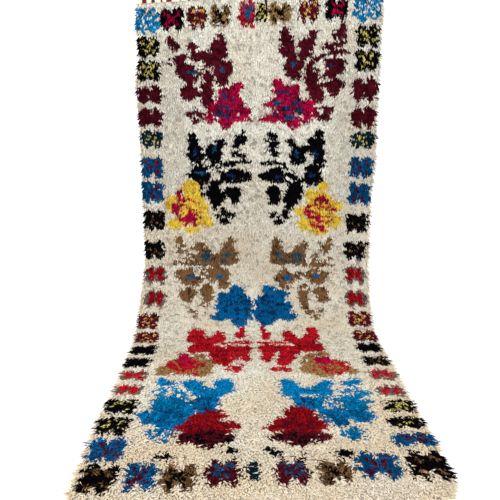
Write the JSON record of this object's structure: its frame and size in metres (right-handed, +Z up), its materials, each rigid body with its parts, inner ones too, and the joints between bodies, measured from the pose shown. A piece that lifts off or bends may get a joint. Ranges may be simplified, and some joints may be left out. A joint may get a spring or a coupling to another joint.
{
  "type": "azilal rug",
  "caption": "Ivory wool pile rug with flower sprays and a rosette border, hung by its top edge so that its lower part bends and runs out flat over the floor.",
  "frame": {"origin": "on the floor, below the middle of the rug's bounding box", "axes": "+Z up, +X to the right of a viewer who faces the pile, -Y out over the floor towards that viewer"},
  "size_m": [1.318, 1.7472, 1.7956],
  "materials": {
    "ivory_wool": "matt undyed ivory wool pile in loose locks",
    "maroon_wool": "matt dyed wool pile, dark maroon",
    "crimson_wool": "matt dyed wool pile, crimson",
    "red_wool": "matt dyed wool pile, red",
    "orange_wool": "matt dyed wool pile, orange tan",
    "yellow_wool": "matt dyed wool pile, yellow",
    "brown_wool": "matt wool pile, brown",
    "black_wool": "matt dyed wool pile, near black",
    "grey_wool": "matt wool pile, grey",
    "navy_wool": "matt dyed wool pile, navy",
    "blue_wool": "matt dyed wool pile, royal blue",
    "bright_blue_wool": "matt dyed wool pile, bright blue",
    "teal_wool": "matt dyed wool pile, dark teal",
    "woven_back": "matt woven wool foundation with rows of knot backs"
  },
  "bodies": {
    "root": {"rug": "ivory_wool"}
  },
  "joints": []
}
